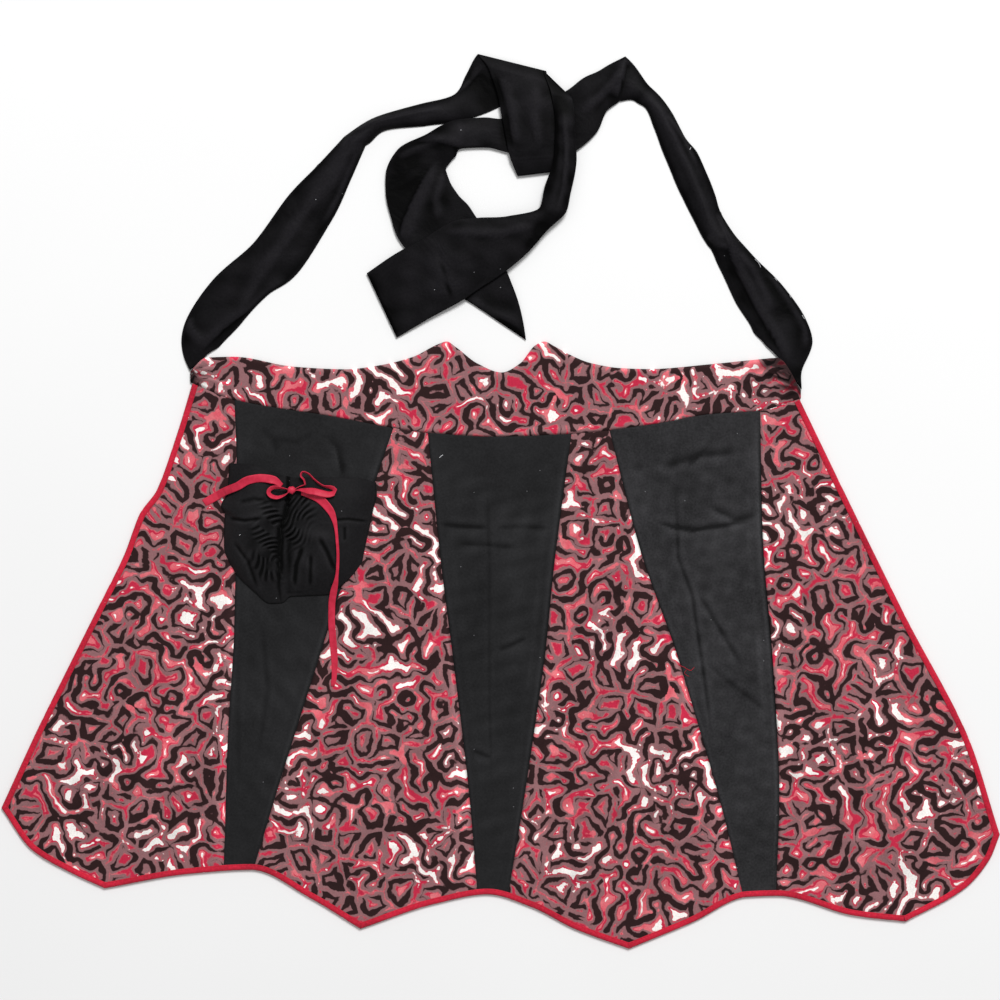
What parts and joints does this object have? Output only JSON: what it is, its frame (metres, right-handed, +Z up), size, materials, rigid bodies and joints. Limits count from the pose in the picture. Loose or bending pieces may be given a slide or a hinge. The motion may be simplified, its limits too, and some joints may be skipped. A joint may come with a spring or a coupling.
{
  "type": "half waist apron",
  "caption": "Flared half apron with a pointed waistband, bound scalloped hem, gathered patch pocket, ribbon bow and loosely hitched waist ties, lying flat.",
  "frame": {"origin": "middle of the apron's box, on the surface that it lies on", "axes": "+X along the waistband to the wearer's left, +Y from the hem to the ties, +Z up off the surface, out of the apron's face"},
  "size_m": [0.798, 0.715, 0.0212],
  "materials": {
    "printed_cotton": "matt woven cotton with an all-over print",
    "black_cotton": "matt woven cotton",
    "red_binding": "soft cotton bias binding",
    "red_ribbon": "satin ribbon with a low sheen"
  },
  "bodies": {
    "root": {"waistband": "printed_cotton", "print_side_left": "printed_cotton", "print_middle_left": "printed_cotton", "print_middle_right": "printed_cotton", "print_side_right": "printed_cotton", "black_gore_left": "black_cotton", "black_gore_middle": "black_cotton", "black_gore_right": "black_cotton", "heart_pocket": "black_cotton", "tie_left": "black_cotton", "tie_right": "black_cotton", "edge_binding": "red_binding", "ribbon_bow": "red_ribbon", "ribbon_tail_left": "red_ribbon", "ribbon_tail_right": "red_ribbon"}
  },
  "joints": []
}
